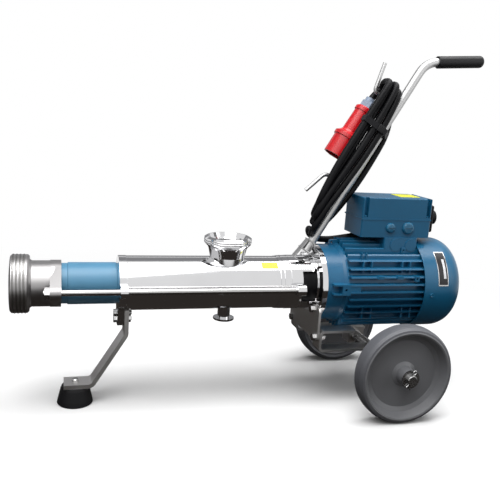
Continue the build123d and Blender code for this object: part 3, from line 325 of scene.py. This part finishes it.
SCREW_X = 226.0
COVER_R = 97.0
for name, angle in (("cover_screw_near", -3.5), ("cover_screw_far", 176.5)):
    outward = Vector((0, -cos(radians(angle)), sin(radians(angle))))
    place = at(SCREW_X, outward.y * COVER_R, outward.z * COVER_R)
    pan_screw(name, place, outward, 4.2 * MM, 2.4 * MM, cover_blue)

# --- Nameplate ------------------------------------------------------------------------------------
# Thin metal plate bent round the cover. It is left blank: a dark field and a pale panel inside
# a bare metal edge.


def curved_plate(name, x, angles, r, thick, material):
    """Sheet bent round the motor between two places along it and two angles above level."""
    form = bmesh.new()
    low, high = (radians(a) for a in angles)
    ends = [form.verts.new(at(place, -r * cos(low), r * sin(low))) for place in x]
    form.edges.new(ends)
    steps = 18
    bmesh.ops.spin(
        form, geom=form.verts[:] + form.edges[:], cent=at(0), axis=ALONG, angle=low - high, steps=steps,
    )
    bmesh.ops.recalc_face_normals(form, faces=form.faces)
    middle = form.faces[:][len(form.faces) // 2]
    if middle.normal.dot(middle.calc_center_median() - at(middle.calc_center_median().x)) < 0:
        bmesh.ops.reverse_faces(form, faces=form.faces)
    bmesh.ops.solidify(form, geom=form.faces[:], thickness=-thick * MM)
    return piece(name, finish_mesh(form, name), material)


PLATE_X = (240.0, 263.0)
PLATE_ANGLES = (8.0, 53.0)
plate_black = paint("plate_black", (0.012, 0.011, 0.013), 0.32, 0.02, gleam=0.3)
plate_white = paint("plate_white", (0.72, 0.72, 0.74), 0.3, 0.02)
curved_plate("nameplate", PLATE_X, PLATE_ANGLES, COVER_R + 0.1, 0.7, bright)
curved_plate(
    "nameplate_field", (241.4, 261.6), (9.4, 51.6), COVER_R + 0.75, 0.2, plate_black,
)
curved_plate("nameplate_panel", (252.5, 258.0), (17.0, 42.0), COVER_R + 0.9, 0.2, plate_white)

# --- Plain yellow labels --------------------------------------------------------------------------
# Blank foil labels: one on the near side of the housing, one at the back corner of the lid.
label_yellow = paint("label_yellow", (0.80, 0.78, 0.02), 0.42, 0.02)
curved_plate("housing_label", (-128.0, -94.0), (44.0, 61.0), 53.75, 0.2, label_yellow)
form = bmesh.new()
bmesh.ops.create_cube(form, size=1.0)
bmesh.ops.scale(form, vec=(48.0 * MM, 46.0 * MM, 0.3 * MM), verts=form.verts)
bmesh.ops.bevel(
    form, geom=[edge for edge in form.edges if abs(edge.verts[0].co.z - edge.verts[1].co.z) > 0.1 * MM],
    offset=3.0 * MM, affect="EDGES", segments=4, profile=0.5, material=-1,
)
LID_TOP = (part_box("control_box_lid")[1][2] - AXIS_Z) / MM
bmesh.ops.translate(form, vec=at(197, 6, LID_TOP + 0.15), verts=form.verts)
piece("lid_label", finish_mesh(form, "lid_label"), label_yellow)

# --- Terminal box, control box and blanking plugs -------------------------------------------------
# The cast terminal box stands on the housing's pads. The moulded control box is screwed on top
# of it; its lid is held by four corner screws, and two cable holes are closed by plugs.
dress(motor_blue, "terminal_base")
box_blue = paint("box_blue", (0.006, 0.095, 0.195), 0.34, 0.14, 500.0, 0.35)
dress(box_blue, "control_box_base", "control_box_lid")
dress(paint("plug_blue", (0.010, 0.115, 0.22), 0.26, 0.08), "blanking_plugs")
dress(box_blue, "lid_screws")

# --- Rotary switch --------------------------------------------------------------------------------
# Black plastic knob in a deep square collar on the end of the control box. A quarter turn starts
# the pump. The knob has a raised bar across its face.
SWITCH_Z = 143
form = bmesh.new()
bmesh.ops.create_cube(form, size=1.0)
bmesh.ops.scale(form, vec=(15.0 * MM, 56.0 * MM, 58.0 * MM), verts=form.verts)
bmesh.ops.bevel(
    form, geom=form.edges[:], offset=4.0 * MM, affect="EDGES", segments=4, profile=0.5, material=-1,
)
bmesh.ops.translate(form, vec=at(243.7, 0, SWITCH_Z), verts=form.verts)
collar = piece("switch_collar", finish_mesh(form, "switch_collar"), black_plastic)
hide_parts("switch_plate")
form = bmesh.new()
bmesh.ops.create_cone(form, cap_ends=True, segments=40, radius1=16.5 * MM, radius2=15.0 * MM, depth=15.0 * MM)
face = max(form.faces, key=lambda one: one.calc_center_median().z)
bmesh.ops.inset_region(form, faces=[face], thickness=2.0 * MM, depth=-4.0 * MM)
turn = Matrix.Rotation(radians(90), 4, "Y")
bmesh.ops.transform(form, verts=form.verts, matrix=Matrix.Translation(at(259, 0, SWITCH_Z)) @ turn)
bar = bmesh.ops.create_cube(form, size=1.0)["verts"]
bmesh.ops.scale(form, vec=(11.0 * MM, 8.0 * MM, 27.0 * MM), verts=bar)
bmesh.ops.translate(form, vec=at(261.5, 0, SWITCH_Z), verts=bar)
knob = piece("switch_grip", finish_mesh(form, "switch_grip"), black_plastic, "switch")
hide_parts("switch_knob")

# --- Handle ---------------------------------------------------------------------------------------
# Bent stainless tube, welded into a folded sheet bracket on the lantern, with two hooks of round
# bar for the cable. A rubber grip is pushed over its end.
satin = steel("satin_stainless", (0.44, 0.44, 0.44), 0.42, 0.08, (1.0, 1.0, 0.3), 120.0)
dress(satin, "handle_tube")
dress(satin, "handle_bracket")
grip, start = new_material("grip_rubber")
skin = noise(start, 700.0, 3.0)
place = start.node("ShaderNodeTexCoord", out=OBJECT_SPACE)
rings = start.node("ShaderNodeTexWave", {"bands_direction": "X"}, {
    "Vector": place, "Scale": 110.0, "Distortion": 0.2,
})
bump = start.node("ShaderNodeBump", None, {
    "Height": rings * 0.6 + skin * 0.4, "Strength": 0.35, "Distance": 0.0005,
})
shade = between(start, skin, (0.006, 0.006, 0.007), (0.012, 0.012, 0.013))
finish_material(grip, start.node("ShaderNodeBsdfPrincipled", None, {
    "Base Color": shade, "Roughness": 0.3 + skin * 0.16, "Specular IOR Level": 0.2, "Normal": bump,
}))
dress(grip, "handle_grip")

# --- Front leg and rubber foot --------------------------------------------------------------------
# Flat stainless bar, bent twice and bolted to the housing's tongue. The moulded rubber foot
# takes the weight at the outlet's end.
strap_steel = steel("brushed_strap", (0.62, 0.61, 0.60), 0.36, 0.16, (0.15, 1.0, 0.15), 400.0, 0.12)
dress(strap_steel, "leg_strap")
dress(bright, "leg_bolts")
dress(paint("foot_rubber", (0.008, 0.008, 0.009), 0.5, 0.5, 500.0, 0.2), "rubber_foot")

# --- Trolley --------------------------------------------------------------------------------------
# A stainless plate behind the lantern's flange carries two loops of flat bar, and the loops hold
# the axle in drilled blocks.
dress(strap_steel, "trolley_plate", "frame_loop_near", "frame_loop_far")
dress(bright, "frame_bolts")

# --- Wheels, axle and split pins ------------------------------------------------------------------
# Moulded grey wheels with solid rubber treads run on the axle's ends, between washers, and are
# kept on by split pins.
AXLE_X, AXLE_Z = 137, -144


def moulded(name, colour, rough):
    """Moulded plastic of a wheel: fine ripples round the axle from the flow into the mould."""
    material, start = new_material(name)
    place = start.node("ShaderNodeTexCoord", out=OBJECT_SPACE)
    mapped = start.node("ShaderNodeMapping", None, {
        "Vector": place, "Location": tuple(-c for c in at(AXLE_X, 0, AXLE_Z)),
    })
    ripples = start.node("ShaderNodeTexNoise", None, {
        "Vector": start.node("ShaderNodeMapping", None, {"Vector": mapped, "Scale": (1.0, 0.1, 1.0)}),
        "Scale": 160.0, "Detail": 3.0,
    })
    cloud = noise(start, 18.0, 4.0)
    shade = between(start, cloud, tuple(c * 0.88 for c in colour), tuple(c * 1.1 for c in colour))
    bump = start.node("ShaderNodeBump", None, {"Height": ripples, "Strength": 0.25, "Distance": 0.0004})
    return finish_material(material, start.node("ShaderNodeBsdfPrincipled", None, {
        "Base Color": shade, "Roughness": rough + (cloud - 0.5) * 0.16, "Normal": bump,
    }))


wheel_grey = moulded("wheel_grey", (0.155, 0.158, 0.168), 0.42)
tyre_grey = moulded("tyre_grey", (0.10, 0.103, 0.115), 0.55)
dress(wheel_grey, "wheel_near", "wheel_far")
dress(tyre_grey, "tyre_near", "tyre_far")
axle_steel = steel("axle_steel", (0.34, 0.34, 0.34), 0.26, 0.12, (1.0, 1.0, 1.0), 200.0)
dress(axle_steel, "axle", "axle_washers")

PIN_Y = 203.6
PIN_WIRE = 1.3
EYE_R = 3.6


def split_pin(name, side):
    """Round wire bent into an eye, pushed through the axle, its legs spread apart."""
    line = bpy.data.curves.new(name, "CURVE")
    line.dimensions = "3D"
    spline = line.splines.new("NURBS")
    shape = [(5.5, -19), (1.1, -12.5), (0.9, 11)]
    for step in range(9):
        angle = radians(-60 + 300 * step / 8)
        shape.append((EYE_R * cos(angle), 16 + EYE_R * sin(angle)))
    shape += [(-0.9, 11), (-1.1, -12.5), (-4.5, -16.5)]
    spline.points.add(len(shape) - 1)
    tilt = radians(20)
    for point, (across, up) in zip(spline.points, shape):
        x = across * cos(tilt) + up * sin(tilt)
        z = -across * sin(tilt) + up * cos(tilt)
        point.co = (*at(AXLE_X + x, side * PIN_Y, AXLE_Z + z), 1.0)
    spline.order_u = 3
    spline.use_endpoint_u = True
    line.bevel_depth = PIN_WIRE * MM
    line.bevel_resolution = 3
    line.use_fill_caps = True
    return piece(name, line, bright)


pins = [split_pin("split_pin_near", -1), split_pin("split_pin_far", 1)]
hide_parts("split_pins")

# --- Mains cable: one 14 mm rubber lead, hung over the hook in four turns ------------------------
# It leaves the terminal box, lies on the far side of the motor, climbs behind the handle's foot
# and is wound up the near side of the stem and down its far side. It ends in the plug.
CABLE_D = 14.0
STEM_FOOT = at(-22.9, 0, 67.6)
STEM_RISE = radians(60.1)
stem = Vector((cos(STEM_RISE), 0, sin(STEM_RISE)))
off_stem = Vector((-sin(STEM_RISE), 0, cos(STEM_RISE)))


def by_stem(s, n, y):
    """A place by length up the handle's stem, distance off it, and distance across, in millimetres."""
    return STEM_FOOT + stem * (s * MM) + off_stem * (n * MM) + Vector((0, y * MM, 0))


lead = [
    at(113, 30, 94), at(90, 31.5, 92.5), at(66, 38, 86.5), at(40, 43.5, 82), at(13, 41, 84),
    at(-10, 27, 97), at(-19, 8, 115),
]
# share of the way up and across at each point of a turn, from the bottom up the near side
TURN = (
    (0.0, 0.5), (0.0, -0.4), (0.05, -0.93), (0.17, -1), (0.36, -1), (0.55, -1), (0.74, -1), (0.9, -1),
    (0.985, -0.85), (1.0, -0.25), (0.995, 0.45), (0.95, 0.95), (0.8, 1), (0.6, 1), (0.4, 1), (0.2, 1),
    (0.07, 0.95),
)
TURNS = (   # off the stem near, far, at the top and at the bottom; bottom and top; across near and far
    (15, -26, 26, 23, 35, 372, -28, 21), (33, -9, 38, 35, 57, 379, -30, 22),
    (44, 5, 46, 39, 71, 375, -20, 21), (56, 17, 54, 43, 86, 376, -29, 21),
)
SWELL = (12, 6, 2, 0)       # how far each turn leans out at the knee above its bottom
KNEE = 0.2                  # shares of the way up: the knee, and where the two end bends begin
LOW_BEND = 0.34
TOP_BEND = 0.75
LEFT_OUT = 6                # points of the last turn that it lacks, since the tail leaves there
coil = []
for (near, far, top_n, low_n, low, top, near_y, far_y), swell in zip(TURNS, SWELL):
    for share, across in TURN:
        at_top = max(0.0, share - TOP_BEND) / (1 - TOP_BEND)
        at_low = max(0.0, LOW_BEND - share) / LOW_BEND
        lean = swell * max(0.0, 1 - abs(share - KNEE) / 0.25)
        n = (near + lean) * (1 - across) / 2 + far * (1 + across) / 2
        low_here = low_n - 11 * (1 + across)
        n = n + (top_n - n) * at_top**1.5 + (low_here - n) * at_low**1.3
        shrink = 1 - 0.25 * at_low
        y = (near_y + far_y) / 2 + (far_y - near_y) / 2 * across * shrink
        coil.append(by_stem(low + (top - low) * share, n, y))
del coil[-LEFT_OUT:]
tail = [by_stem(363, 45, 17), by_stem(347, 52, 14), by_stem(333, 54, 13)]
route = lead + coil + tail
line = bpy.data.curves.new("mains_cable", "CURVE")
line.dimensions = "3D"
spline = line.splines.new("NURBS")
spline.points.add(len(route) - 1)
for point, place in zip(spline.points, route):
    point.co = (*place, 1.0)
spline.order_u = 3
spline.use_endpoint_u = True
spline.resolution_u = 6
line.bevel_depth = CABLE_D / 2 * MM
line.bevel_resolution = 4
line.use_fill_caps = True
sheath = paint("cable_sheath", (0.003, 0.003, 0.004), 0.45, 0.25, gleam=0.14)
cable = piece("mains_cable", line, sheath)
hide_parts("power_cable", "cable_hank", "plug_lead")

# --- Cable gland and strain relief ----------------------------------------------------------------
# Black plastic gland on the terminal box, with a tapered rubber sleeve over the cable.
dress(black_plastic, "cable_gland")
form = bmesh.new()
way = (lead[1] - lead[0]).normalized()
SLEEVE = ((0.0, 8.9), (6.0, 8.7), (12.0, 8.2), (18.0, 7.7), (24.0, 7.25), (24.5, 6.9))
spun = [form.verts.new((s * MM, r * MM, 0)) for s, r in SLEEVE]
for first, second in zip(spun, spun[1:]):
    form.edges.new((first, second))
bmesh.ops.spin(
    form, geom=form.verts[:] + form.edges[:], cent=(0, 0, 0), axis=ALONG, angle=2 * pi, steps=28,
    use_merge=True,
)
turn = way.to_track_quat("X", "Z").to_matrix().to_4x4()
bmesh.ops.transform(form, verts=form.verts, matrix=Matrix.Translation(lead[0]) @ turn)
sleeve = piece("gland_sleeve", finish_mesh(form, "gland_sleeve"), black_rubber)

# --- Cable strap ----------------------------------------------------------------------------------
# Rubber strap that ties the hank to the handle's stem, with a moulded stud on its near side.
dress(paint("strap_rubber", (0.006, 0.006, 0.008), 0.5, 0.3, gleam=0.2), "cable_strap")
form = bmesh.new()
bmesh.ops.create_cube(form, size=1.0)
bmesh.ops.scale(form, vec=(15.0 * MM, 3.2 * MM, 15.0 * MM), verts=form.verts)
bmesh.ops.bevel(
    form, geom=form.edges[:], offset=1.2 * MM, affect="EDGES", segments=3, profile=0.5, material=-1,
)
lean = Matrix.Rotation(-STEM_RISE, 4, "Y")
bmesh.ops.transform(form, verts=form.verts, matrix=Matrix.Translation(by_stem(285, 22, -38.6)) @ lean)
stud = piece("strap_stud", finish_mesh(form, "strap_stud"), black_rubber)

# --- Mains plug -----------------------------------------------------------------------------------
# Industrial plug, moulded in red with a grey gland nut. It hangs from the top of the hank with
# its open end down. The photo hides that end, so its five pins are a guess.
plug_red = paint("plug_red", (0.56, 0.006, 0.012), 0.28, 0.06)
dress(plug_red, "plug_body")
dress(paint("gland_grey", (0.25, 0.31, 0.41), 0.36, 0.15), "plug_gland")

# --- Studio ---------------------------------------------------------------------------------------
# Floor that the camera sees pale, fading to white, but that is near black to all other rays: painted
# shade under the pump and painted dark reflections in its steel. White surroundings and soft lamps.
# Dark cards that only reflections see give the polished steel its contrast.
floor_form = bmesh.new()
bmesh.ops.create_grid(floor_form, x_segments=1, y_segments=1, size=30.0)
floor_mesh = bpy.data.meshes.new("floor")
floor_form.to_mesh(floor_mesh)
floor_form.free()
floor = bpy.data.objects.new("floor", floor_mesh)
bpy.context.scene.collection.objects.link(floor)
floor_material, start = new_material("floor")
place = start.node("ShaderNodeTexCoord", out=OBJECT_SPACE)
reach = start.node("ShaderNodeVectorMath", {"operation": "LENGTH"}, {0: place}, out=1)
fade = start.node("ShaderNodeMapRange", {"interpolation_type": "SMOOTHSTEP"}, {
    "Value": reach, "From Min": 0.35, "From Max": 1.5,
})
seen = start.math(
    "MAXIMUM", start.node("ShaderNodeLightPath"), start.node("ShaderNodeLightPath", out=GLOSSY_RAY),
)
white = start.node("ShaderNodeEmission", None, {"Color": (1.0, 1.0, 1.0), "Strength": 1.0})
matt = start.node("ShaderNodeBsdfDiffuse", None, {"Color": (0.9, 0.9, 0.9)})
# Near black to every ray but the camera's: painted shade under the pump, and painted dark reflections near
# the floor.
floor_dark_shade = start.node("ShaderNodeBsdfDiffuse", None, {"Color": (0.08, 0.075, 0.07)})
camera_pale_else_shade = start.node("ShaderNodeMixShader", None, {0: start.node("ShaderNodeLightPath"), 1: floor_dark_shade, 2: matt})
faded = start.node("ShaderNodeMixShader", None, {0: fade * seen, 1: camera_pale_else_shade, 2: white})
finish_material(floor_material, faded)
floor_mesh.materials.append(floor_material)


def card(name, centre, size, turn, shade):
    """Flat card that shows only in reflections."""
    form = bmesh.new()
    bmesh.ops.create_grid(form, x_segments=1, y_segments=1, size=0.5)
    bmesh.ops.scale(form, vec=(*size, 1.0), verts=form.verts)
    bmesh.ops.transform(form, verts=form.verts, matrix=Matrix.Translation(centre) @ turn)
    mesh = bpy.data.meshes.new(name)
    form.to_mesh(mesh)
    form.free()
    made = bpy.data.objects.new(name, mesh)
    bpy.context.scene.collection.objects.link(made)
    material, start = new_material(name)
    glow = start.node("ShaderNodeEmission", None, {"Color": shade, "Strength": 1.0})
    finish_material(material, glow)
    mesh.materials.append(material)
    made.visible_camera = False
    made.visible_diffuse = False
    made.visible_shadow = False
    made.visible_transmission = False


LEVEL = Matrix.Identity(4)
UPRIGHT = Matrix.Rotation(radians(90), 4, "X")
ACROSS = Matrix.Rotation(radians(90), 4, "Y")
card("dark_ground", (0.0, 0.0, 0.002), (2.6, 2.2), LEVEL, (0.035, 0.03, 0.027))
card("grey_back", (0.0, 1.6, 0.5), (4.0, 1.0), UPRIGHT, (0.3, 0.3, 0.31))
card("grey_top", (0.0, 1.75, 1.9), (3.6, 1.9), LEVEL, (0.3, 0.3, 0.31))
card("dark_end", (-1.9, 0.2, 0.5), (1.0, 1.6), ACROSS, (0.06, 0.06, 0.06))

world = bpy.data.worlds.new("studio")
world.use_nodes = True
world.node_tree.nodes.clear()
start = Wire(world.node_tree)
seen = start.math(
    "MAXIMUM", start.node("ShaderNodeLightPath"), start.node("ShaderNodeLightPath", out=GLOSSY_RAY),
)
sky = start.node("ShaderNodeBackground", None, {"Color": (1.0, 1.0, 1.0), "Strength": 0.13 + seen * 0.87})
start.node("ShaderNodeOutputWorld", None, {"Surface": sky})
bpy.context.scene.world = world


def lamp(name, place, aim, size, power):
    """Soft rectangular lamp, aimed at a point."""
    light = bpy.data.lights.new(name, "AREA")
    light.shape = "RECTANGLE"
    light.size, light.size_y = size
    light.energy = power
    made = bpy.data.objects.new(name, light)
    made.location = place
    made.rotation_euler = (Vector(aim) - Vector(place)).to_track_quat("-Z", "Y").to_euler()
    bpy.context.scene.collection.objects.link(made)


lamp("key", (-1.0, -1.5, 2.3), (0, 0, 0.25), (2.8, 2.2), 36.0)
lamp("fill", (1.8, -1.4, 1.2), (0, 0, 0.3), (1.2, 1.6), 9.0)
lamp("top", (0.1, -0.25, 2.4), (0, 0, 0.2), (3.4, 1.6), 84.0)

# --- Camera ---------------------------------------------------------------------------------------
# A normal lens 0.59 m above the floor, in front and to the outlet's side, looking 12 degrees
# down. Its place, turn and lens were fitted to the photo.
camera = bpy.data.objects.new("camera", bpy.data.cameras.new("camera"))
camera.data.lens = 47.32
camera.data.sensor_width = 36.0
camera.location = at(-520.5, -1254.1, 342.8)
camera.rotation_euler = (radians(78.07), radians(-3.819), radians(-15.86))
bpy.context.scene.collection.objects.link(camera)
bpy.context.scene.camera = camera

bpy.context.scene.view_settings.view_transform = "Standard"
